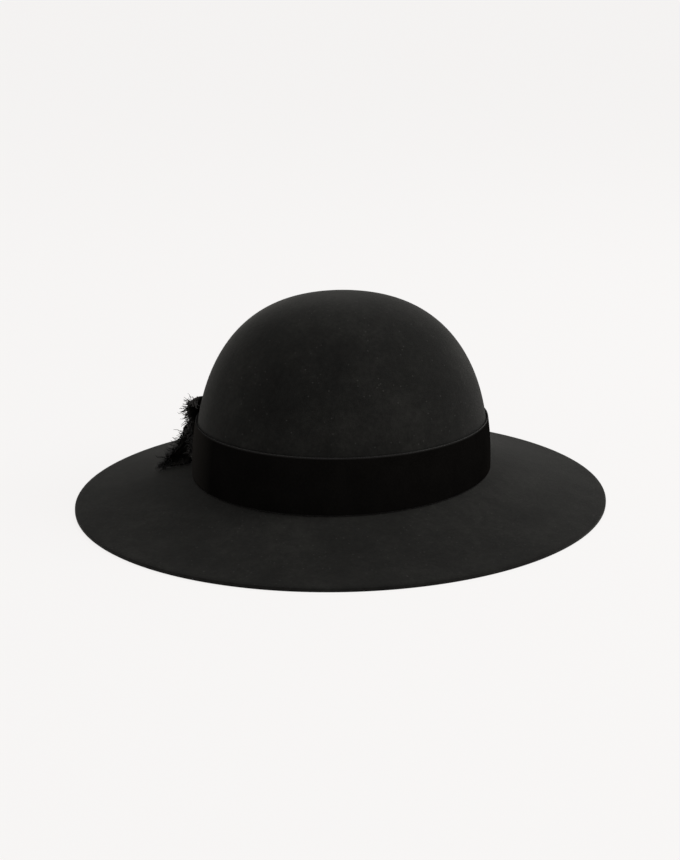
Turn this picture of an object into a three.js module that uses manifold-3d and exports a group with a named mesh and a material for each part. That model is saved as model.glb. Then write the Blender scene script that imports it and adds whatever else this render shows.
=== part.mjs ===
// A wide-brimmed felt hat with a round crown, a velvet ribbon band and a flat side bow with frayed ends.
// Lengths are millimetres and +Z is up. The wearer looks along -Y, so the wearer's right is -X.
// The origin is the middle of the rim's underside, the plane on which the hat stands.

import * as THREE from "three";
import { mergeVertices } from "three/addons/utils/BufferGeometryUtils.js";
import Module from "manifold-3d";

const wasm = await Module();
wasm.setup();

// The felt
const HEAD_WIDTH = 168; // inside the crown's foot, side to side
const HEAD_LENGTH = 195; // inside the crown's foot, front to back
const FELT = 2.2; // thickness
const CROWN_RISE = 103.6; // from the break to the top of the crown, outside
const BREAK_HEIGHT = 17.9; // of the break, where crown and brim meet, above the rim's underside
const BREAK_RADIUS = 2; // of the hollow corner at the break, outside
const BRIM_REACH = 70.5; // from the crown's foot to the rim, measured level
const BRIM_SWEEP = 1.15; // power of the brim's fall: 1 is a straight cone, more is flatter at the rim
const RIM_ROUND = 0.6; // rounding of the cut edge
const RIM_LAND = 3; // width of the flat ring under the rim

// How full the crown's outline is: shoulder bends the top, wall keeps the sides upright
const FRONT_OUTLINE = { shoulder: 2.46, wall: 2.48 };
const SIDE_OUTLINE = { shoulder: 1.5, wall: 2.6 };

// The ribbons
const RIBBON = 1.2; // thickness of the velvet ribbon
const BAND_WIDTH = 31.3;
const UPPER_WIDTH = 40; // of the bow's upper ribbon
const LOWER_WIDTH = 44; // of the bow's lower ribbon
const GATHERED = 17; // width of both where the knot gathers them
const GAP = 0.3; // between pieces that touch

// The bow, on the wearer's right side
const BOW_REACH = 33; // from the middle of the knot to where the ribbon starts to fray
const BOW_SET_BACK = 8; // of the knot, behind the widest place of the head
const KNOT_LENGTH = 14; // along the band
const FRAY = 7.5; // longest lock of frayed threads

// Steps of the mesh
const SEGMENTS = 72; // round the hat
const CROWN_STEPS = 11;
const BRIM_STEPS = 5;
const BREAK_STEPS = 3;
const ACROSS = 9; // over a bow ribbon's width

// Colours
const FELT_BLACK = new THREE.MeshStandardMaterial({ color: 0x1d1c1c, roughness: 0.95, metalness: 0 });
const VELVET_BLACK = new THREE.MeshStandardMaterial({ color: 0x070707, roughness: 1, metalness: 0 });

const FOOT_HALF_WIDTH = HEAD_WIDTH / 2 + FELT;
const FOOT_HALF_LENGTH = HEAD_LENGTH / 2 + FELT;

// Closed meshes

function orientedGeometry(points, faces) {
  let volume = 0;
  for (let i = 0; i < faces.length; i += 3) {
    const [a, b, c] = faces.slice(i, i + 3).map((corner) => points[corner]);
    volume += a.dot(new THREE.Vector3().crossVectors(b, c));
  }
  if (volume < 0) faces.reverse();
  const geometry = new THREE.BufferGeometry().setFromPoints(points);
  geometry.setIndex(faces);
  geometry.computeVertexNormals();
  return geometry;
}

// Quads between each ring of points and the next, as triangles.
function joinRings(rings, closed) {
  const size = rings[0].length;
  const faces = [];
  const spans = closed ? rings.length : rings.length - 1;
  for (let r = 0; r < spans; r++) {
    const here = r * size;
    const next = ((r + 1) % rings.length) * size;
    for (let i = 0; i < size; i++) {
      const j = (i + 1) % size;
      faces.push(here + i, here + j, next + j, here + i, next + j, next + i);
    }
  }
  return faces;
}

// A body whose first and last rings close on a point each.
function domedBody(rings, firstPole, lastPole) {
  const size = rings[0].length;
  const points = [...rings.flat(), firstPole, lastPole];
  const faces = joinRings(rings, false);
  const first = points.length - 2;
  const last = points.length - 1;
  const lastRing = (rings.length - 1) * size;
  for (let i = 0; i < size; i++) {
    const j = (i + 1) % size;
    faces.push(first, j, i, last, lastRing + i, lastRing + j);
  }
  return orientedGeometry(points, faces);
}

// A body that runs round and meets itself.
function loopBody(rings) {
  return orientedGeometry(rings.flat(), joinRings(rings, true));
}

// A strip whose sections go up one face and back down the other, closed by a flat cap at each end.
function stripBody(rings) {
  const size = rings[0].length;
  const lastRing = (rings.length - 1) * size;
  const faces = joinRings(rings, false);
  for (let i = 0; i < size / 2 - 1; i++) {
    const back = size - 1 - i;
    faces.push(i, back, i + 1, i + 1, back, back - 1);
    faces.push(lastRing + i, lastRing + i + 1, lastRing + back);
    faces.push(lastRing + i + 1, lastRing + back - 1, lastRing + back);
  }
  return orientedGeometry(rings.flat(), faces);
}

function solidOf(geometry) {
  const bare = new THREE.BufferGeometry();
  bare.setAttribute("position", geometry.getAttribute("position"));
  bare.setIndex(geometry.index);
  const merged = mergeVertices(bare, 1e-4);
  const vertProperties = merged.getAttribute("position").array;
  const triVerts = new Uint32Array(merged.index.array);
  return new wasm.Manifold(new wasm.Mesh({ numProp: 3, vertProperties, triVerts }));
}

function geometryOf(solid) {
  const { vertProperties, triVerts } = solid.getMesh();
  const geometry = new THREE.BufferGeometry();
  geometry.setAttribute("position", new THREE.BufferAttribute(vertProperties, 3));
  geometry.setIndex(new THREE.BufferAttribute(triVerts, 1));
  geometry.computeVertexNormals();
  return geometry;
}

function fuse(parts) {
  return geometryOf(parts.map(solidOf).reduce((whole, part) => whole.add(part)));
}

function sub(name, geometry, material) {
  const mesh = new THREE.Mesh(geometry, material);
  mesh.name = name;
  return mesh;
}

// The felt: crown and brim blocked from one piece

function oval(halfWidth, halfLength, z) {
  return Array.from({ length: SEGMENTS }, (_, i) => {
    const turn = (2 * Math.PI * i) / SEGMENTS;
    return new THREE.Vector3(halfWidth * Math.cos(turn), halfLength * Math.sin(turn), z);
  });
}

// The crown's half width at a share of its rise, as a share of the half width at its foot.
function fullness(rise, outline) {
  return (1 - rise ** outline.shoulder) ** (1 / outline.wall);
}

function crownHalves(height) {
  const rise = Math.min(Math.max(height / CROWN_RISE, 0), 1);
  return [FOOT_HALF_WIDTH * fullness(rise, FRONT_OUTLINE), FOOT_HALF_LENGTH * fullness(rise, SIDE_OUTLINE)];
}

// The top of the brim at a distance out from the crown's foot, without the rounded break.
function brimTop(out) {
  const left = Math.max(1 - out / BRIM_REACH, 0);
  return FELT + (BREAK_HEIGHT - FELT) * left ** BRIM_SWEEP;
}

function brimSlope(out) {
  const left = Math.max(1 - out / BRIM_REACH, 0);
  return Math.atan(((BREAK_HEIGHT - FELT) * BRIM_SWEEP * left ** (BRIM_SWEEP - 1)) / BRIM_REACH);
}

// The hollow corner at the break, an arc that touches the upright crown and the sloping brim.
const BREAK_SLOPE = brimSlope(0);
const BREAK_CENTRE = {
  out: BREAK_RADIUS,
  z: BREAK_HEIGHT + (BREAK_RADIUS * (1 - Math.sin(BREAK_SLOPE))) / Math.cos(BREAK_SLOPE),
};

function breakArc(radius) {
  return Array.from({ length: BREAK_STEPS + 1 }, (_, i) => {
    const turn = Math.PI + ((Math.PI / 2 - BREAK_SLOPE) * i) / BREAK_STEPS;
    return { out: BREAK_CENTRE.out + radius * Math.cos(turn), z: BREAK_CENTRE.z + radius * Math.sin(turn) };
  });
}

function feltTop(out) {
  const inArc = BREAK_CENTRE.out - out;
  const arcEnd = BREAK_RADIUS * Math.sin(BREAK_SLOPE);
  if (inArc <= arcEnd) return brimTop(out);
  return BREAK_CENTRE.z - Math.sqrt(BREAK_RADIUS ** 2 - inArc ** 2);
}

function ringAt({ out, z }) {
  return oval(FOOT_HALF_WIDTH + out, FOOT_HALF_LENGTH + out, z);
}

function crownRings(inset, foot) {
  const rings = [];
  for (let step = 1; step <= CROWN_STEPS; step++) {
    const turn = (Math.PI / 2) * (step / (CROWN_STEPS + 1));
    const rise = Math.cos(turn) ** (2 / FRONT_OUTLINE.shoulder);
    const halfWidth = (FOOT_HALF_WIDTH - inset) * fullness(rise, FRONT_OUTLINE);
    const halfLength = (FOOT_HALF_LENGTH - inset) * fullness(rise, SIDE_OUTLINE);
    rings.push(oval(halfWidth, halfLength, foot + (BREAK_HEIGHT + CROWN_RISE - inset - foot) * rise));
  }
  return rings;
}

function feltBody() {
  const top = [];
  const under = [];
  const firstOut = BREAK_CENTRE.out;
  const lastOut = BRIM_REACH - RIM_ROUND;
  for (let step = 1; step <= BRIM_STEPS; step++) {
    const out = firstOut + ((lastOut - firstOut) * step) / BRIM_STEPS;
    const slope = brimSlope(out);
    top.push({ out, z: brimTop(out) });
    if (step < BRIM_STEPS) {
      under.unshift({ out: out - FELT * Math.sin(slope), z: brimTop(out) - FELT * Math.cos(slope) });
    }
  }
  const rim = [
    { out: BRIM_REACH, z: FELT - RIM_ROUND },
    { out: BRIM_REACH, z: RIM_ROUND },
    { out: lastOut, z: 0 },
    { out: lastOut - RIM_LAND, z: 0 },
  ];
  const rings = [
    ...crownRings(0, BREAK_HEIGHT),
    ...breakArc(BREAK_RADIUS).map(ringAt),
    ...[...top, ...rim, ...under].map(ringAt),
    ...breakArc(BREAK_RADIUS + FELT).reverse().map(ringAt),
    ...crownRings(FELT, BREAK_HEIGHT).reverse(),
  ];
  const apex = new THREE.Vector3(0, 0, BREAK_HEIGHT + CROWN_RISE);
  const ceiling = new THREE.Vector3(0, 0, BREAK_HEIGHT + CROWN_RISE - FELT);
  return domedBody(rings, apex, ceiling);
}

// The band: one length of velvet ribbon round the crown's foot

function bandRing(out, height) {
  const [halfWidth, halfLength] = crownHalves(height);
  return oval(halfWidth + out, halfLength + out, BREAK_HEIGHT + height);
}

function hatBand() {
  const inner = GAP;
  const outer = GAP + RIBBON;
  const footAt = (out) => feltTop(out) + GAP - BREAK_HEIGHT;
  const middles = [1 / 3, 2 / 3].map((share) => share * BAND_WIDTH);
  const edge = RIBBON / 4;
  return loopBody([
    bandRing(inner, footAt(inner)),
    ...middles.map((height) => bandRing(inner, height)),
    bandRing(inner, BAND_WIDTH - edge),
    bandRing(inner + edge, BAND_WIDTH),
    bandRing(outer - edge, BAND_WIDTH),
    bandRing(outer, BAND_WIDTH - edge),
    ...middles.reverse().map((height) => bandRing(outer, height)),
    bandRing(outer, footAt(outer)),
  ]);
}

// The bow: two short ribbons, one over the other, gathered under a knot

// A point by its place on the band: how far along it to the wearer's front, how far out from its face,
// and how high above the break.
function overBand(along, out, height) {
  const y = BOW_SET_BACK - along;
  const [halfWidth, halfLength] = crownHalves(height);
  const clear = out + GAP + RIBBON;
  const x = (halfWidth + clear) * Math.sqrt(1 - (y / (halfLength + clear)) ** 2);
  return new THREE.Vector3(-x, y, BREAK_HEIGHT + height);
}

function onBrim(out) {
  return brimTop(out + GAP + RIBBON) - BREAK_HEIGHT + GAP + RIBBON;
}

const LAYER = GAP + RIBBON; // each layer in the knot takes this much
const UPPER_OUT = LAYER + GAP + RIBBON / 2;
const LOWER_OUT = UPPER_OUT + LAYER;
const KNOT_MIDDLE = BAND_WIDTH / 2;

// How far the ribbon has opened from its gathered width to its full width, on the way to its end.
const OPENING = [
  { along: 0, opened: 0 },
  { along: 0.24, opened: 0 },
  { along: 0.36, opened: 0.64 },
  { along: 0.52, opened: 0.9 },
  { along: 0.74, opened: 0.99 },
  { along: 1, opened: 1 },
];

// Where a ribbon's width runs at its open end, as a curve drawn from its top edge to its foot. Distances
// out from the band and heights above the break are shares of the ribbon's width. The upper one's top
// corner stands out from the crown, and the lower one bellies out over the brim and curls back to the
// band's foot.
const LOWER_FOOT_OUT = 0.1;
const UPPER_END = [
  { out: 0.0125, height: 0.985 },
  { out: 0.36, height: 0.99 },
  { out: -0.07, height: 0.527 },
  { out: 0.047, height: 0.102 },
];
const LOWER_END = [
  { out: 0.17, height: 0.5 },
  { out: 0.114, height: 0.1 },
  { out: 0.92, height: -0.2 },
  { out: LOWER_FOOT_OUT, height: onBrim(LOWER_FOOT_OUT * LOWER_WIDTH) / LOWER_WIDTH },
];

const UPPER = { end: UPPER_END, width: UPPER_WIDTH, gatheredOut: UPPER_OUT };
const LOWER = { end: LOWER_END, width: LOWER_WIDTH, gatheredOut: LOWER_OUT };

// The middle of the ribbon's thickness at one place along it, as points in the plane out and up.
function acrossRibbon({ end, width, gatheredOut }, opened) {
  const corners = end.map(({ out, height }, i) => {
    const gatheredHeight = KNOT_MIDDLE + GATHERED * (0.5 - i / (end.length - 1));
    return new THREE.Vector3(
      THREE.MathUtils.lerp(gatheredOut, out * width, opened),
      THREE.MathUtils.lerp(gatheredHeight, height * width, opened),
      0,
    );
  });
  return new THREE.CubicBezierCurve3(...corners);
}

function ribbonSection(along, ribbon, opened) {
  const curve = acrossRibbon(ribbon, opened);
  const front = [];
  const back = [];
  for (let step = 0; step <= ACROSS; step++) {
    const middle = curve.getPoint(step / ACROSS);
    const down = curve.getTangent(step / ACROSS);
    const half = RIBBON / 2;
    front.push(overBand(along, middle.x - down.y * half, middle.y + down.x * half));
    back.unshift(overBand(along, middle.x + down.y * half, middle.y - down.x * half));
  }
  return [...front, ...back];
}

// Lengths of the locks of frayed threads across an end, as shares of the longest.
const LOCKS = [0.55, 0.9, 0.7, 1, 0.65, 0.85, 1, 0.75, 0.6];

// One lock, a tapering prism that starts inside the ribbon's end.
function lockOf(endRing, innerRing, place, length) {
  const size = endRing.length;
  const corners = [place, place + 1, size - 2 - place, size - 1 - place];
  const along = new THREE.Vector3();
  corners.forEach((i) => along.add(endRing[i]).sub(innerRing[i]));
  along.normalize();
  const middle = new THREE.Vector3();
  corners.forEach((i) => middle.addScaledVector(endRing[i], 1 / corners.length));
  const section = (advance, narrow) =>
    corners.map((i) => middle.clone().lerp(endRing[i], narrow).addScaledVector(along, advance));
  return stripBody([section(-RIBBON, 0.94), section(0, 0.94), section(length, 0.4)]);
}

function bowRibbon(ribbon) {
  const rows = [...OPENING.slice(1).reverse(), ...OPENING];
  const rings = rows.map(({ along, opened }, i) => {
    const side = i < OPENING.length - 1 ? -1 : 1;
    return ribbonSection(side * along * BOW_REACH, ribbon, opened);
  });
  const ends = [
    [rings[0], rings[1]],
    [rings.at(-1), rings.at(-2)],
  ];
  const locks = ends.flatMap(([endRing, innerRing]) =>
    LOCKS.map((share, place) => lockOf(endRing, innerRing, place, share * FRAY)),
  );
  return fuse([stripBody(rings), ...locks]);
}

// The knot: a turn of ribbon wrapped round both, with rounded corners
function bowKnot() {
  const halfInside = GATHERED / 2 + 2 * GAP;
  const inside = { low: LAYER, high: LOWER_OUT + RIBBON / 2 + GAP, half: halfInside };
  const outside = { low: GAP, high: inside.high + RIBBON, half: halfInside + RIBBON };
  const loop = ({ low, high, half }, round) => [
    [low + round, half],
    [low, half - round],
    [low, round - half],
    [low + round, -half],
    [high - round, -half],
    [high, round - half],
    [high, 0],
    [high, half - round],
    [high - round, half],
  ];
  const inner = loop(inside, RIBBON / 3);
  const outer = loop(outside, RIBBON);
  const ring = (shape, along) => shape.map(([out, up]) => overBand(along, out, KNOT_MIDDLE + up));
  const half = KNOT_LENGTH / 2;
  return loopBody([
    ring(outer, -half),
    ring(outer, 0),
    ring(outer, half),
    ring(inner, half),
    ring(inner, 0),
    ring(inner, -half),
  ]);
}

const hat = new THREE.Group();
hat.add(
  sub("felt_body", feltBody(), FELT_BLACK),
  sub("hat_band", hatBand(), VELVET_BLACK),
  sub("bow_upper_ribbon", bowRibbon(UPPER), VELVET_BLACK),
  sub("bow_lower_ribbon", bowRibbon(LOWER), VELVET_BLACK),
  sub("bow_knot", bowKnot(), VELVET_BLACK),
);

export default hat;
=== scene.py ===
"""A black felt hat with a wide brim, a velvet ribbon band and a side bow with frayed ends.

It stands on its rim.
"""

import math

import bpy
import numpy as np
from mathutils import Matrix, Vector


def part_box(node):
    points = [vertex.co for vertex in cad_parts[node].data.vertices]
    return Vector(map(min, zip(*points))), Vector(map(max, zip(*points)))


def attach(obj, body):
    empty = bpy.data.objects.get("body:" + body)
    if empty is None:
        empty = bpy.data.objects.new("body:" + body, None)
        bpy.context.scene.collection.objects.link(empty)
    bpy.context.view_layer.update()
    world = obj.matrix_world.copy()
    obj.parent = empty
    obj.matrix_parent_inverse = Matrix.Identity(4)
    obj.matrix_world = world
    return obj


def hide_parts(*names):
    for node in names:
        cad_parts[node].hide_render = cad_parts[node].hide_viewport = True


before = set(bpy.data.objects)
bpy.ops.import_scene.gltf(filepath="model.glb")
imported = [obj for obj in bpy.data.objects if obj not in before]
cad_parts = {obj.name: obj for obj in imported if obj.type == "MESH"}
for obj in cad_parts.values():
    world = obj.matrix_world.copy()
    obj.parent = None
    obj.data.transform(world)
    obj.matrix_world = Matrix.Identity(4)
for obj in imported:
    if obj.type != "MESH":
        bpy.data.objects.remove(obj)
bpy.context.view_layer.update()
MM = 0.001

# The felt body.
# Crown and brim are blocked from one cone of wool felt, steamed over a round block and a brim board. The
# rim is a plain cut edge, and the felt is brushed to a short, slightly uneven nap.

FELT = 2.2 * MM
BRIM_REACH = 70.5 * MM
BREAK_HEIGHT = 17.9 * MM
BREAK_RADIUS = 2.0 * MM
BRIM_SWEEP = 1.15
RIM_ROUND = 0.6 * MM
RIM_LAND = 3.0 * MM
FRONT_SHOULDER, FRONT_WALL = 2.46, 2.48
SIDE_SHOULDER, SIDE_WALL = 1.5, 2.6

felt_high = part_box("felt_body")[1]
foot_half_width = felt_high[0] - BRIM_REACH
foot_half_length = felt_high[1] - BRIM_REACH
crown_rise = felt_high[2] - BREAK_HEIGHT


def fullness(rise, shoulder, wall):
    return (1 - rise**shoulder) ** (1 / wall)


def crown_halves(height):
    """Half width and half length of the crown's outside at a height above the break."""
    rise = min(max(height / crown_rise, 0.0), 1.0)
    half_width = foot_half_width * fullness(rise, FRONT_SHOULDER, FRONT_WALL)
    return half_width, foot_half_length * fullness(rise, SIDE_SHOULDER, SIDE_WALL)


def brim_top(out):
    left = max(1 - out / BRIM_REACH, 0.0)
    return FELT + (BREAK_HEIGHT - FELT) * left**BRIM_SWEEP


def brim_slope(out):
    left = max(1 - out / BRIM_REACH, 0.0)
    return math.atan((BREAK_HEIGHT - FELT) * BRIM_SWEEP * left ** (BRIM_SWEEP - 1) / BRIM_REACH)


break_slope = brim_slope(0)
break_rise = BREAK_RADIUS * (1 - math.sin(break_slope)) / math.cos(break_slope)
break_centre = (BREAK_RADIUS, BREAK_HEIGHT + break_rise)


def felt_top(out):
    """Height of the felt's upper side at a distance out from the crown's foot."""
    into_arc = break_centre[0] - out
    if into_arc <= BREAK_RADIUS * math.sin(break_slope):
        return brim_top(out)
    return break_centre[1] - math.sqrt(BREAK_RADIUS**2 - into_arc**2)


def ovals(profile, segments):
    """A grid of points: one oval for each (half width, half length, height) of a profile."""
    turn = np.linspace(0, 2 * math.pi, segments, endpoint=False)
    profile = np.asarray(profile)
    return np.stack(
        [
            profile[:, 0:1] * np.cos(turn),
            profile[:, 1:2] * np.sin(turn),
            np.repeat(profile[:, 2:3], segments, axis=1),
        ],
        axis=-1,
    )


def flat_cap(index, row, flip):
    """Faces that close a strip's end, where its section goes up one side and back down the other."""
    columns = index.shape[1] - 1
    faces = []
    for i in range(columns // 2 - 1):
        places = (i, i + 1, columns - 2 - i, columns - 1 - i)
        face = [int(index[row, place]) for place in places]
        faces.append(face[::-1] if flip else face)
    return faces


def grid_mesh(name, grid, poles=(), loop=False, cap_ends=False, cloth=None):
    """A closed piece from rows of points that each run round it, with its faces turned outwards.

    poles closes the first and last rows on a point each, loop joins them to each other, and cap_ends
    closes a strip. cloth is a UV map in metres, with a row and a column more than the grid.
    """
    rows, columns = grid.shape[:2]
    index = np.arange(rows * columns).reshape(rows, columns)
    if loop:
        index = np.vstack([index, index[:1]])
    index = np.hstack([index, index[:, :1]])
    quads = np.stack([index[:-1, :-1], index[:-1, 1:], index[1:, 1:], index[1:, :-1]], axis=-1)
    faces = quads.reshape(-1, 4).tolist()
    points = grid.reshape(-1, 3)
    if poles:
        first, last = len(points), len(points) + 1
        points = np.vstack([points, np.asarray(poles)])
        faces += [[first, b, a] for a, b in zip(index[0, :-1].tolist(), index[0, 1:].tolist())]
        faces += [[last, a, b] for a, b in zip(index[-1, :-1].tolist(), index[-1, 1:].tolist())]
    if cap_ends:
        faces += flat_cap(index, 0, True) + flat_cap(index, rows - 1, False)
    volume = 0.0
    for face in faces:
        for i in range(1, len(face) - 1):
            volume += points[face[0]] @ np.cross(points[face[i]], points[face[i + 1]])
    inside_out = volume < 0
    if inside_out:
        faces = [face[::-1] for face in faces]
    mesh = bpy.data.meshes.new(name)
    mesh.from_pydata(points.tolist(), [], faces)
    mesh.update()
    if cloth is not None:
        patch = np.stack([cloth[:-1, :-1], cloth[:-1, 1:], cloth[1:, 1:], cloth[1:, :-1]], axis=-2)
        patch = patch.reshape(-1, 4, 2)
        if inside_out:
            patch = patch[:, ::-1]
        corners = np.zeros((len(mesh.loops), 2), dtype=np.float32)
        corners[: patch.shape[0] * 4] = patch.reshape(-1, 2)
        mesh.uv_layers.new(name="cloth").uv.foreach_set("vector", corners.ravel())
    mesh.shade_smooth()
    piece = bpy.data.objects.new(name, mesh)
    bpy.context.collection.objects.link(piece)
    return piece


class Socket:
    """One output of a node, so that maths on it reads as an expression."""

    def __init__(self, tree, output):
        self.tree = tree
        self.output = output

    def _math(self, operation, first, second):
        return self.tree.add("ShaderNodeMath", {"operation": operation}, {0: first, 1: second})

    def __add__(self, other):
        return self._math("ADD", self, other)

    def __mul__(self, other):
        return self._math("MULTIPLY", self, other)

    def __sub__(self, other):
        return self._math("SUBTRACT", self, other)

    def __rsub__(self, other):
        return self._math("SUBTRACT", other, self)


class Tree:
    """Nodes that are added one at a time, each with its settings first and then its sockets."""

    def __init__(self, nodes_in):
        self.nodes_in = nodes_in

    def add(self, kind, settings=None, sockets=None, output=0):
        node = self.nodes_in.nodes.new(kind)
        for key, value in (settings or {}).items():
            if key == "stops":
                self.spread(node.color_ramp, value)
            else:
                setattr(node, key, value)
        self.fill(node, sockets or {})
        return Socket(self, node.outputs[output])

    def spread(self, ramp, stops):
        ramp.elements[0].position, ramp.elements[0].color = stops[0]
        ramp.elements[1].position, ramp.elements[1].color = stops[-1]
        for place, colour in stops[1:-1]:
            ramp.elements.new(place).color = colour

    def fill(self, node, sockets):
        for key, value in sockets.items():
            if isinstance(value, Socket):
                self.nodes_in.links.new(value.output, node.inputs[key])
            else:
                node.inputs[key].default_value = value

    def vector(self, operation, first, second=None, scale=None):
        sockets = {0: first}
        if second is not None:
            sockets[1] = second
        if scale is not None:
            sockets["Scale"] = scale
        return self.add("ShaderNodeVectorMath", {"operation": operation}, sockets)


class Finish(Tree):
    """A material."""

    def __init__(self, name, viewport):
        self.material = bpy.data.materials.new(name)
        self.material.use_nodes = True
        self.material.diffuse_color = (*viewport, 1)
        super().__init__(self.material.node_tree)
        self.shader = self.nodes_in.nodes["Principled BSDF"]

    def set(self, **sockets):
        self.fill(self.shader, {key.replace("_", " "): value for key, value in sockets.items()})

    def noise(self, place, scale, detail, roughness=0.5, distortion=0.0):
        sockets = {
            "Vector": place,
            "Scale": scale,
            "Detail": detail,
            "Roughness": roughness,
            "Distortion": distortion,
        }
        return self.add("ShaderNodeTexNoise", None, sockets)


def grey(level, warmth=0.0):
    return (level * (1 + warmth), level, level * (1 - warmth), 1)


FELT_DARK = (0.0032, 0.0031, 0.0027, 1)
FELT_MIDDLE = (0.0068, 0.0066, 0.0058, 1)
FELT_PALE = (0.0130, 0.0127, 0.0112, 1)


def felt_material():
    """Clouds of tone, finer mottling, a short nap, matted fibres and a few pale flecks of wool."""
    felt = Finish("wool_felt", (0.03, 0.03, 0.03))
    place = felt.add("ShaderNodeTexCoord", output=3)
    clouds = felt.noise(place, 30.0, 5.0, 0.6)
    nap = felt.noise(place, 380.0, 4.0, 0.7)
    fibres = felt.noise(place, 1500.0, 3.0, 0.6, 1.4)
    mottling = felt.noise(place, 130.0, 3.0, 0.6)
    tone = clouds * 0.4 + mottling * 0.16 + nap * 0.28 + fibres * 0.16
    stops = [(0.37, FELT_DARK), (0.5, FELT_MIDDLE), (0.63, FELT_PALE)]
    colour = felt.add("ShaderNodeValToRGB", {"stops": stops}, {"Fac": tone})
    cells = felt.add("ShaderNodeTexVoronoi", None, {"Vector": place, "Scale": 240.0, "Randomness": 1.0})
    near_cell = {"Value": cells, "From Min": 0.13, "From Max": 0.04, "To Min": 0.0, "To Max": 0.55}
    fleck = felt.add("ShaderNodeMapRange", None, near_cell)
    mixed = {0: fleck, 6: colour, 7: grey(0.04, 0.05)}
    flecked = felt.add("ShaderNodeMix", {"data_type": "RGBA"}, mixed, output=2)
    relief = nap * 0.6 + fibres * 0.4
    bump = felt.add("ShaderNodeBump", None, {"Height": relief, "Strength": 0.3, "Distance": 0.0006})
    felt.set(Base_Color=flecked, Normal=bump, Roughness=0.95)
    felt.set(Specular_IOR_Level=0.12)
    felt.set(Sheen_Weight=0.43, Sheen_Roughness=0.36, Sheen_Tint=(0.19, 0.185, 0.172, 1))
    return felt.material


def felt_body():
    segments, crown_steps, brim_steps, break_steps = 240, 48, 26, 7
    last_out = BRIM_REACH - RIM_ROUND

    def crown(inset):
        rows = []
        for step in range(1, crown_steps + 1):
            turn = math.pi / 2 * step / (crown_steps + 1)
            rise = math.cos(turn) ** (2 / FRONT_SHOULDER)
            half_width = (foot_half_width - inset) * fullness(rise, FRONT_SHOULDER, FRONT_WALL)
            half_length = (foot_half_length - inset) * fullness(rise, SIDE_SHOULDER, SIDE_WALL)
            rows.append((half_width, half_length, BREAK_HEIGHT + (crown_rise - inset) * rise))
        return rows

    def ring(out, height):
        return foot_half_width + out, foot_half_length + out, height

    def break_arc(radius):
        turns = np.linspace(math.pi, 1.5 * math.pi - break_slope, break_steps + 1)
        centre_out, centre_height = break_centre
        return [
            ring(centre_out + radius * math.cos(turn), centre_height + radius * math.sin(turn))
            for turn in turns
        ]

    top, under = [], []
    for step in range(1, brim_steps + 1):
        out = break_centre[0] + (last_out - break_centre[0]) * step / brim_steps
        slope = brim_slope(out)
        top.append(ring(out, brim_top(out)))
        if out < last_out - 2 * RIM_LAND:
            under.append(ring(out - FELT * math.sin(slope), brim_top(out) - FELT * math.cos(slope)))
    upper_edge = [
        ring(last_out + RIM_ROUND * math.sin(turn), FELT - RIM_ROUND * (1 - math.cos(turn)))
        for turn in np.linspace(math.pi / 8, math.pi / 2, 4)
    ]
    lower_edge = [
        ring(last_out + RIM_ROUND * math.cos(turn), RIM_ROUND * (1 - math.sin(turn)))
        for turn in np.linspace(0, math.pi / 2, 5)
    ]
    land = [ring(last_out - RIM_LAND * share, 0) for share in (0.5, 1)]
    profile = crown(0) + break_arc(BREAK_RADIUS) + top + upper_edge + lower_edge + land
    profile += under[::-1] + break_arc(BREAK_RADIUS + FELT)[::-1] + crown(FELT)[::-1]
    apex = (0, 0, BREAK_HEIGHT + crown_rise)
    ceiling = (0, 0, BREAK_HEIGHT + crown_rise - FELT)
    return grid_mesh("felt", ovals(profile, segments), poles=(apex, ceiling))


felt = felt_body()
felt.data.materials.append(felt_material())
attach(felt, "root")
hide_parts("felt_body")

# The band.
# One length of black velvet ribbon with woven selvedges, drawn tight round the crown's foot and joined
# under the bow. It stands on the brim and leans in with the crown.

GAP = 0.3 * MM
RIBBON = 1.2 * MM
BAND_WIDTH = 31.3 * MM
SELVEDGE = 0.8 * MM
LOOP_PITCH = 0.9 * MM
LOOP_RADIUS = 0.24 * MM
LINE_POINTS = 720

# Painted sheen: the pile is painted paler beside the bow, standing in for the sheen of grazing light on the
# velvet there.
# The two shares of the foot's half width say where this starts and where it is full.
PAINTED_SHEEN_PILE = 0.022
PAINTED_SHEEN_FROM = 0.6
PAINTED_SHEEN_TO = 0.97
WOVEN_EDGE = 0.012


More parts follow.
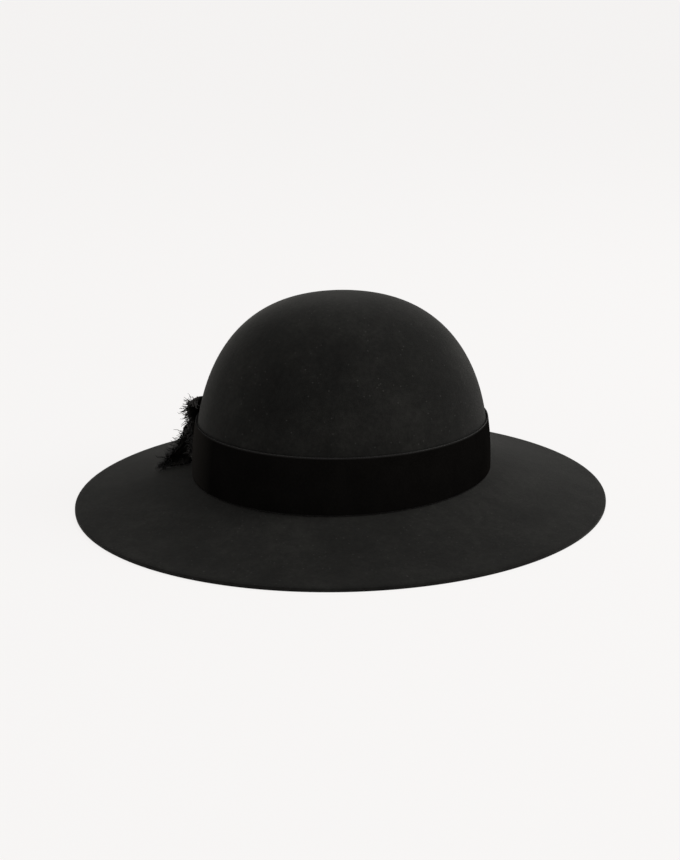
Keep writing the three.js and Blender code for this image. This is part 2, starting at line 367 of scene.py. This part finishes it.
def velvet_material(name, width, dark, pale, sheen):
    """Short black pile with painted sheen that makes it paler around the bow, and a woven edge along each
    side of the ribbon.
    """
    velvet = Finish(name, (0.01, 0.01, 0.01))
    place = velvet.add("ShaderNodeTexCoord", output=3)
    pile = velvet.noise(place, 900.0, 3.0, 0.6)
    lay = velvet.noise(place, 60.0, 3.0, 0.55)
    stops = [(0.3, grey(dark, 0.1)), (0.7, grey(pale, 0.1))]
    black = velvet.add("ShaderNodeValToRGB", {"stops": stops}, {"Fac": lay * 0.5 + pile * 0.5})
    across_hat = velvet.add("ShaderNodeSeparateXYZ", None, {"Vector": place})
    by_the_bow = {
        "Value": across_hat,
        "From Min": -foot_half_width * PAINTED_SHEEN_FROM,
        "From Max": -foot_half_width * PAINTED_SHEEN_TO,
    }
    near_bow = velvet.add("ShaderNodeMapRange", None, by_the_bow)
    # Painted sheen: the colour is blended to a paler pile towards the bow's side of the hat.
    painted_sheen = {0: near_bow, 6: black, 7: grey(max(pale, PAINTED_SHEEN_PILE), 0.1)}
    colour = velvet.add("ShaderNodeMix", {"data_type": "RGBA"}, painted_sheen, output=2)
    cloth = velvet.add("ShaderNodeUVMap", {"uv_map": "cloth"})
    from_edge = velvet.add("ShaderNodeSeparateXYZ", None, {"Vector": cloth}, output=1)
    from_middle = velvet.add("ShaderNodeMath", {"operation": "ABSOLUTE"}, {0: from_edge - width / 2})
    woven = {
        "Value": from_middle,
        "From Min": width / 2 - SELVEDGE * 1.2,
        "From Max": width / 2 - SELVEDGE * 0.7,
    }
    selvedge = velvet.add("ShaderNodeMapRange", None, woven)
    mixed = {0: selvedge, 6: colour, 7: grey(WOVEN_EDGE, 0.05)}
    edged = velvet.add("ShaderNodeMix", {"data_type": "RGBA"}, mixed, output=2)
    bump = velvet.add("ShaderNodeBump", None, {"Height": pile, "Strength": 0.3, "Distance": 0.0004})
    velvet.set(Base_Color=edged, Normal=bump, Roughness=0.95)
    velvet.set(Specular_IOR_Level=0.0)
    velvet.set(Sheen_Weight=sheen, Sheen_Roughness=0.24, Sheen_Tint=(0.16, 0.15, 0.14, 1))
    return velvet.material


def thread_material(name, level, patches):
    """Plain thread, paler and darker in places. patches is how many such places there are to a metre."""
    thread = Finish(name, (level, level, level))
    place = thread.add("ShaderNodeTexCoord", output=3)
    uneven = thread.noise(place, patches, 3.0)
    stops = [(0.36, grey(level * 0.45, 0.04)), (0.64, grey(level * 1.7, 0.04))]
    colour = thread.add("ShaderNodeValToRGB", {"stops": stops}, {"Fac": uneven})
    thread.set(Base_Color=colour, Roughness=0.6)
    thread.set(Specular_IOR_Level=0.2)
    return thread.material


class Recipe(Tree):
    """A Geometry Nodes tree with named inputs, whose result is kept as a plain mesh."""

    def __init__(self, name, **sizes):
        group = bpy.data.node_groups.new(name, "GeometryNodeTree")
        super().__init__(group)
        group.interface.new_socket("Geometry", in_out="OUTPUT", socket_type="NodeSocketGeometry")
        group.interface.new_socket("Geometry", in_out="INPUT", socket_type="NodeSocketGeometry")
        self.identifiers = {}
        for label, value in sizes.items():
            kind = "NodeSocketInt" if isinstance(value, int) else "NodeSocketFloat"
            entry = group.interface.new_socket(label, in_out="INPUT", socket_type=kind)
            entry.default_value = value
            self.identifiers[label] = entry.identifier
        self.entrance = group.nodes.new("NodeGroupInput")

    def size(self, label):
        return Socket(self, self.entrance.outputs[label])

    def finish(self, geometry, material):
        real = self.add("GeometryNodeRealizeInstances", None, {0: geometry})
        dressed = self.add("GeometryNodeSetMaterial", None, {"Geometry": real, "Material": material})
        self.fill(self.nodes_in.nodes.new("NodeGroupOutput"), {0: dressed})

    def bake(self, name, guide, **sizes):
        source = bpy.data.objects.new(name + "_guide", guide)
        bpy.context.collection.objects.link(source)
        modifier = source.modifiers.new(name, "NODES")
        modifier.node_group = self.nodes_in
        for label, value in sizes.items():
            modifier[self.identifiers[label]] = value
        seen = source.evaluated_get(bpy.context.evaluated_depsgraph_get())
        mesh = bpy.data.meshes.new_from_object(seen)
        bpy.data.objects.remove(source)
        if mesh.materials[0] is None:
            mesh.materials.pop(index=0)
        mesh.name = name
        mesh.shade_smooth()
        piece = bpy.data.objects.new(name, mesh)
        bpy.context.collection.objects.link(piece)
        return piece


def selvedge_recipe(material):
    """Small slanted loops of weft, one beside the other along an edge."""
    recipe = Recipe("selvedge_loops", Pitch=LOOP_PITCH, Radius=LOOP_RADIUS, Seed=3)
    line = recipe.add("GeometryNodeMeshToCurve", None, {"Mesh": recipe.size("Geometry")})
    spots_from = {"Curve": line, "Length": recipe.size("Pitch")}
    spots = recipe.add("GeometryNodeCurveToPoints", {"mode": "LENGTH"}, spots_from)
    tangent = Socket(recipe, spots.output.node.outputs["Tangent"])
    wander = recipe.add(
        "FunctionNodeRandomValue",
        {"data_type": "FLOAT_VECTOR"},
        {0: (-0.35, -0.35, 0.1), 1: (0.35, 0.35, 0.9), "Seed": recipe.size("Seed")},
    )
    lean = recipe.vector("ADD", tangent, wander)
    turned = recipe.add("FunctionNodeAlignRotationToVector", {"axis": "Z"}, {"Vector": lean})
    ball = recipe.add(
        "GeometryNodeMeshUVSphere", None, {"Segments": 6, "Rings": 5, "Radius": recipe.size("Radius")}
    )
    stretch = recipe.add(
        "FunctionNodeRandomValue",
        {"data_type": "FLOAT_VECTOR"},
        {0: (0.75, 0.75, 1.7), 1: (1.15, 1.15, 2.3), "Seed": recipe.size("Seed") + 1.0},
    )
    placed = {"Points": spots, "Instance": ball, "Rotation": turned, "Scale": stretch}
    recipe.finish(recipe.add("GeometryNodeInstanceOnPoints", None, placed), material)
    return recipe


def ring_guide(name, points):
    """A closed line through points."""
    guide = bpy.data.meshes.new(name)
    last = len(points) - 1
    edges = [(i, i + 1) for i in range(last)] + [(last, 0)]
    guide.from_pydata([tuple(point) for point in points], edges, [])
    return guide


def join(name, pieces):
    """Several pieces of one finish, joined into one mesh."""
    with bpy.context.temp_override(active_object=pieces[0], selected_editable_objects=pieces):
        bpy.ops.object.join()
    pieces[0].name = name
    pieces[0].data.name = name
    return pieces[0]


velvet_finish = velvet_material("velvet_ribbon", BAND_WIDTH, 0.0022, 0.0044, 0.03)
weft_finish = thread_material("weft_edge", 0.026, 38.0)
band_round = math.pi * (foot_half_width + foot_half_length + 2 * (GAP + RIBBON))


def band_ring(out, height):
    half_width, half_length = crown_halves(height)
    return half_width + out, half_length + out, BREAK_HEIGHT + height


def hat_band():
    segments, steps = 360, 14
    inner, outer, edge = GAP, GAP + RIBBON, RIBBON * 0.4

    def foot(out):
        return felt_top(out) + GAP - BREAK_HEIGHT

    heights = np.linspace(0.05, 0.95, steps) * BAND_WIDTH
    places = [(inner, foot(inner))]
    places += [(inner, height) for height in heights]
    for turn in np.linspace(0, math.pi, 7):
        out = (inner + outer) / 2 - math.cos(turn) * RIBBON / 2
        places.append((out, BAND_WIDTH - edge * (1 - math.sin(turn))))
    places += [(outer, height) for height in heights[::-1]]
    places += [(outer, foot(outer) + edge), (outer - edge, foot(outer - edge))]
    grid = ovals([band_ring(out, height) for out, height in places], segments)
    heights_up = np.array([height for _, height in places] + [places[0][1]])
    round_it = np.linspace(0, band_round, segments + 1)
    cloth = np.stack(np.broadcast_arrays(round_it[None, :], heights_up[:, None]), axis=-1)
    return grid_mesh("ribbon_band", grid, loop=True, cloth=cloth)


band = hat_band()
band.data.materials.append(velvet_finish)
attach(band, "root")
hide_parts("hat_band")

selvedges = selvedge_recipe(weft_finish)
selvedge_out = GAP + RIBBON * 0.75
edge_lines = []
for side, height, seed in (("top", BAND_WIDTH - LOOP_RADIUS, 3), ("foot", LOOP_RADIUS * 1.6, 9)):
    line = ovals([band_ring(selvedge_out, height)], LINE_POINTS)[0]
    guide = ring_guide("line_" + side, line)
    edge_lines.append(selvedges.bake("selvedge_" + side, guide, Seed=seed))
band_selvedge = join("band_selvedge", edge_lines)
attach(band_selvedge, "root")

# The bow.
# Two short lengths of the same velvet, laid one over the other on the wearer's right, gathered in their
# middle by a turn of ribbon and cut straight across, so that the ends fray into loose threads.

UPPER_WIDTH = 40.0 * MM
LOWER_WIDTH = 44.0 * MM
GATHERED = 17.0 * MM
BOW_REACH = 33.0 * MM
BOW_SET_BACK = 8.0 * MM
KNOT_LENGTH = 14.0 * MM
FRAY = 7.5 * MM
PLEAT = 0.55 * MM
PLEATS = 4
RIPPLE = 0.25 * MM

layer = GAP + RIBBON
upper_out = layer + GAP + RIBBON / 2
lower_out = upper_out + layer
knot_middle = BAND_WIDTH / 2


def over_band(along, out, height):
    """A point from its distances along the band to the front, out from it, and above the break."""
    y = BOW_SET_BACK - along
    half_width, half_length = crown_halves(height)
    clear = out + GAP + RIBBON
    x = (half_width + clear) * math.sqrt(1 - (y / (half_length + clear)) ** 2)
    return (-x, y, BREAK_HEIGHT + height)


def on_brim(out):
    """Height above the break of a ribbon's middle, clear of the brim at a distance out from the band."""
    return brim_top(out + GAP + RIBBON) - BREAK_HEIGHT + GAP + RIBBON


# Each end's section is one curve with four control points, out from the band and above the break, in shares
# of the ribbon's width. The lower ribbon's last point lies on the brim. The opening says how far the section
# has come from its gathered form, against the share of the way from the knot to the end.
LOWER_FOOT_OUT = 0.1
UPPER_END = ((0.0125, 0.985), (0.36, 0.99), (-0.07, 0.527), (0.047, 0.102))
LOWER_END = (
    (0.17, 0.5),
    (0.114, 0.1),
    (0.92, -0.2),
    (LOWER_FOOT_OUT, on_brim(LOWER_FOOT_OUT * LOWER_WIDTH) / LOWER_WIDTH),
)
OPENING = ((0, 0), (0.24, 0), (0.36, 0.64), (0.52, 0.9), (0.74, 0.99), (1, 1))


def opened_at(along):
    """How far the ribbon has opened from its gathered width, on the way from the knot to its end."""
    places, amounts = zip(*OPENING)
    place = abs(along) / BOW_REACH
    spread = (-0.05, -0.025, 0, 0.025, 0.05)
    return float(np.mean([np.interp(place + shift, places, amounts) for shift in spread]))


def across_ribbon(end, width, gathered_out, opened, shares):
    """Middle of the ribbon's thickness and the direction across it, in the plane out and up."""
    corners = []
    for i, (out, height) in enumerate(end):
        gathered_height = knot_middle + GATHERED * (0.5 - i / 3)
        corners.append(
            (
                gathered_out + (out * width - gathered_out) * opened,
                gathered_height + (height * width - gathered_height) * opened,
            )
        )
    p = np.array(corners)
    t = shares[:, None]
    left = 1 - t
    middle = left**3 * p[0] + 3 * t * left**2 * p[1] + 3 * t**2 * left * p[2] + t**3 * p[3]
    down = left**2 * (p[1] - p[0]) + 2 * t * left * (p[2] - p[1]) + t**2 * (p[3] - p[2])
    down /= np.linalg.norm(down, axis=1, keepdims=True)
    return middle, np.stack([-down[:, 1], down[:, 0]], axis=-1)


def bow_section(shape, along, shares):
    """Points on a bow ribbon's two faces, at shares of the way across it.

    shape is its end's section, its width, and how far out from the band it is gathered.
    """
    opened = opened_at(along)
    middle, normal = across_ribbon(*shape, opened, shares)
    crease = PLEAT * (1 - opened) * (0.5 - 0.5 * np.cos(2 * math.pi * PLEATS * shares))
    ripple = RIPPLE * math.sin(along / BOW_REACH * 7) * np.sin(math.pi * shares * 2.5) * opened
    middle = middle + normal * (crease + ripple)[:, None] * np.sign(normal[:, 0:1])
    front = [over_band(along, *place) for place in middle + normal * RIBBON / 2]
    back = [over_band(along, *place) for place in middle - normal * RIBBON / 2]
    return front, back


def bow_ribbon(name, shape):
    along_steps, across_steps = 73, 33
    shares = np.linspace(0, 1, across_steps)
    alongs = np.linspace(-BOW_REACH, BOW_REACH, along_steps)
    grid = []
    for along in alongs:
        front, back = bow_section(shape, along, shares)
        grid.append(front + back[::-1])
    round_it = np.concatenate([shares, shares[::-1], shares[:1]]) * shape[1]
    cloth = np.stack(np.broadcast_arrays(alongs[:, None], round_it[None, :]), axis=-1)
    return grid_mesh(name, np.array(grid), cap_ends=True, cloth=cloth)


def fray_recipe(material):
    """Loose warp threads that leave an end, wander, droop and thin out towards their tips."""
    sizes = {"Length": FRAY, "Radius": 0.25 * MM, "Wander": 2.1 * MM, "Splay": 0.5, "Seed": 1}
    shortest = 0.25
    recipe = Recipe("frayed_threads", **sizes)
    seed = recipe.size("Seed")
    aim = recipe.add("GeometryNodeInputNamedAttribute", {"data_type": "FLOAT_VECTOR"}, {"Name": "aim"})
    any_way = recipe.add(
        "FunctionNodeRandomValue",
        {"data_type": "FLOAT_VECTOR"},
        {0: (-1, -1, -1), 1: (1, 1, 1), "Seed": seed},
    )
    heading = recipe.vector("ADD", aim, recipe.vector("SCALE", any_way, scale=recipe.size("Splay")))
    turned = recipe.add("FunctionNodeAlignRotationToVector", {"axis": "Z"}, {"Vector": heading})
    share = recipe.add(
        "FunctionNodeRandomValue",
        {"data_type": "FLOAT"},
        {2: shortest, 3: 1.0, "Seed": seed + 1.0},
        output=1,
    )
    straight = recipe.add("GeometryNodeCurvePrimitiveLine", None, {"End": (0, 0, 1)})
    fine = recipe.add("GeometryNodeResampleCurve", None, {"Curve": straight, "Count": 8})
    long = recipe.add("ShaderNodeCombineXYZ", None, {0: 1.0, 1: 1.0, 2: recipe.size("Length") * share})
    placed = {"Points": recipe.size("Geometry"), "Instance": fine, "Rotation": turned, "Scale": long}
    threads = recipe.add("GeometryNodeInstanceOnPoints", None, placed)
    real = recipe.add("GeometryNodeRealizeInstances", None, {0: threads})
    out_along = recipe.add("GeometryNodeSplineParameter")
    here = recipe.add("GeometryNodeInputPosition")
    curl = recipe.add("ShaderNodeTexNoise", None, {"Vector": here, "Scale": 330.0, "Detail": 1.0}, output=1)
    bend = recipe.vector("SUBTRACT", curl, (0.5, 0.5, 0.58))
    # The noise strays up to about 0.3 from its middle, so with this gain a tip strays by about Wander.
    noise_gain = 3.2
    amount = out_along * recipe.size("Wander") * noise_gain
    moved = {"Geometry": real, "Offset": recipe.vector("SCALE", bend, scale=amount)}
    wavy = recipe.add("GeometryNodeSetPosition", None, moved)
    section = recipe.add("GeometryNodeCurvePrimitiveCircle", None, {"Resolution": 4, "Radius": 1.0})
    tube = {
        "Curve": wavy,
        "Profile Curve": section,
        "Scale": recipe.size("Radius") * (1.0 - out_along * 0.6),
        "Fill Caps": True,
    }
    recipe.finish(recipe.add("GeometryNodeCurveToMesh", None, tube), material)
    return recipe


THREADS = 220
SUNK = 0.6 * MM
# Painted light and shade: the upper ribbon's loose threads are painted paler than the velvet, as light on
# the bow's top, and the lower ribbon's darker, as shade near the brim.
upper_warp = fray_recipe(thread_material("upper_warp", 0.055, 260.0))
lower_warp = fray_recipe(thread_material("lower_warp", 0.022, 260.0))
draw = np.random.default_rng(7)


def fray_guide(name, shape, side):
    """Roots of the threads over an end's section, with the way that each one leaves it."""
    shares = np.sort(draw.uniform(0.01, 0.99, THREADS))
    depth = draw.uniform(-0.36, 0.36, THREADS)
    outwards = draw.uniform(0.1, 0.9, THREADS)
    front, back = bow_section(shape, side * (BOW_REACH - SUNK), shares)
    front_end, back_end = bow_section(shape, side * BOW_REACH, shares)
    front, back, front_end, back_end = (np.array(rows) for rows in (front, back, front_end, back_end))
    roots = (front + back) / 2 + (front - back) * depth[:, None]
    onward = (front_end + back_end) / 2 - (front + back) / 2
    onward /= np.linalg.norm(onward, axis=1, keepdims=True)
    across = front - back
    across *= np.where(across[:, 0:1] > 0, -1, 1)
    across /= np.linalg.norm(across, axis=1, keepdims=True)
    aims = onward + across * outwards[:, None]
    guide = bpy.data.meshes.new(name)
    guide.from_pydata(roots.tolist(), [], [])
    guide.attributes.new("aim", "FLOAT_VECTOR", "POINT").data.foreach_set("vector", aims.ravel())
    return guide


# Painted light and shade: the bow is the band's velvet, painted lighter than the band to stand in for light
# on it. The upper ribbon's copy is painted lightest, as light on its top. The lower ribbon's copy, also worn
# by the knot, is painted darker as shade under it.
bow_finish_painted_lit = velvet_material("velvet_bow_upper", UPPER_WIDTH, 0.0120, 0.0260, 0.4)
bow_finish_painted_shade = velvet_material("velvet_bow_lower", LOWER_WIDTH, 0.0050, 0.0110, 0.3)
seed = 20
for name, node, shape, finish, warp in (
    ("bow_upper", "bow_upper_ribbon", (UPPER_END, UPPER_WIDTH, upper_out), bow_finish_painted_lit, upper_warp),
    ("bow_lower", "bow_lower_ribbon", (LOWER_END, LOWER_WIDTH, lower_out), bow_finish_painted_shade, lower_warp),
):
    ribbon = bow_ribbon(name, shape)
    ribbon.data.materials.append(finish)
    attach(ribbon, "root")
    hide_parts(node)
    tufts = []
    for side in (1, -1):
        seed += 1
        guide = fray_guide(name + "_roots", shape, side)
        tufts.append(warp.bake(f"{name}_tuft_{seed}", guide, Seed=seed))
    fringe = join(name + "_threads", tufts)
    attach(fringe, "root")


def bow_knot():
    """The turn of ribbon round the middle, with soft creases that run round it."""
    along_steps, round_steps, creases = 29, 40, 3
    squareness, crease_depth = 0.28, 0.45
    half_up = GATHERED / 2 + 2 * GAP
    low, high = layer, lower_out + RIBBON / 2 + GAP
    middle_out, half_out = (low + high) / 2, (high - low) / 2

    def loop(grow, crease):
        places = []
        for turn in np.linspace(0, 2 * math.pi, round_steps, endpoint=False):
            out = math.copysign(abs(math.cos(turn)) ** squareness, math.cos(turn))
            up = math.copysign(abs(math.sin(turn)) ** squareness, math.sin(turn))
            lift = grow - crease * max(out, 0) * grow * crease_depth
            places.append((middle_out + out * (half_out + lift), knot_middle + up * (half_up + grow)))
        return places

    half = KNOT_LENGTH / 2
    rows = []
    for along in np.linspace(-half, half, along_steps):
        place = along / half
        # The last fifth of the way to each side is rounded off.
        rounded = 0.5 * max(abs(place) - 0.8, 0) / 0.2
        crease = 0.5 - 0.5 * math.cos(math.pi * (place + 1) * creases) + rounded
        rows.append([over_band(along, *spot) for spot in loop(RIBBON, min(crease, 1.4))])
    for along in np.linspace(half, -half, along_steps):
        rows.append([over_band(along, *spot) for spot in loop(0, 0)])
    grid = np.array(rows)
    # The whole knot is mapped to the middle of the ribbon, so it shows no woven edge.
    cloth = np.full((*[n + 1 for n in grid.shape[:2]], 2), LOWER_WIDTH / 2)
    return grid_mesh("bow_middle", grid, loop=True, cloth=cloth)


knot = bow_knot()
# Painted shade: the knot wears the bow's darker, shaded copy of the velvet.
knot.data.materials.append(bow_finish_painted_shade)
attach(knot, "root")
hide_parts("bow_knot")

# The studio.
# A pale floor, a soft surround that is brighter above and to the right, and one large soft light.

world = bpy.data.worlds.new("surround")
bpy.context.scene.world = world
world.use_nodes = True
sky = Tree(world.node_tree)
BRIGHT_SIDE = (0.72, -0.05, 0.69)
direction = sky.add("ShaderNodeTexCoord", output=0)
compared = {0: direction, 1: BRIGHT_SIDE}
towards = sky.add("ShaderNodeVectorMath", {"operation": "DOT_PRODUCT"}, compared, output=1)
sky_stops = [(0.0, grey(0.02)), (0.3, grey(0.26)), (0.52, grey(0.66)), (1.0, grey(1.0))]
shade = sky.add("ShaderNodeValToRGB", {"stops": sky_stops}, {"Fac": towards * 0.5 + 0.5})
sky.fill(world.node_tree.nodes["Background"], {"Color": shade, "Strength": 0.88})

FLOOR_HALF = 40
floor_mesh = bpy.data.meshes.new("floor")
floor_corners = [(x * FLOOR_HALF, y * FLOOR_HALF, 0) for x, y in ((-1, -1), (1, -1), (1, 1), (-1, 1))]
floor_mesh.from_pydata(floor_corners, [], [(0, 1, 2, 3)])
floor = bpy.data.objects.new("floor", floor_mesh)
bpy.context.collection.objects.link(floor)
paper = Finish("pale_floor", (0.9, 0.9, 0.9))
paper.set(Base_Color=(0.1, 0.1, 0.1, 1), Roughness=1.0, Specular_IOR_Level=0.0)
paper.set(Emission_Color=(0.93, 0.914, 0.905, 1), Emission_Strength=0.9)
floor_mesh.materials.append(paper.material)


def soft_light(name, place, target, size, power):
    data = bpy.data.lights.new(name, "AREA")
    data.size = size
    data.energy = power
    lamp = bpy.data.objects.new(name, data)
    bpy.context.collection.objects.link(lamp)
    lamp.location = place
    lamp.rotation_euler = (Vector(target) - Vector(place)).to_track_quat("-Z", "Y").to_euler()


soft_light("window", place=(1.4, 0.5, 1.3), target=(0, 0, 0.06), size=1.2, power=20)

CAMERA_AROUND = math.radians(18)
CAMERA_RISE = math.radians(17.2)
CAMERA_AWAY = 1.0
FRAME_HEIGHT = 860
FOCAL_PIXELS = 1658
SHIFT_PIXELS = (-2.5, 61.9)
SENSOR = 36
camera_data = bpy.data.cameras.new("camera")
camera_data.sensor_fit = "VERTICAL"
camera_data.sensor_height = SENSOR
camera_data.lens = SENSOR * FOCAL_PIXELS / FRAME_HEIGHT
camera_data.shift_x = SHIFT_PIXELS[0] / FRAME_HEIGHT
camera_data.shift_y = SHIFT_PIXELS[1] / FRAME_HEIGHT
camera = bpy.data.objects.new("camera", camera_data)
bpy.context.collection.objects.link(camera)
level = CAMERA_AWAY * math.cos(CAMERA_RISE)
camera.location = (
    level * math.sin(CAMERA_AROUND),
    -level * math.cos(CAMERA_AROUND),
    CAMERA_AWAY * math.sin(CAMERA_RISE) + FELT / 2,
)
camera.rotation_euler = (math.pi / 2 - CAMERA_RISE, 0, CAMERA_AROUND)
bpy.context.scene.camera = camera
bpy.context.scene.view_settings.view_transform = "Standard"
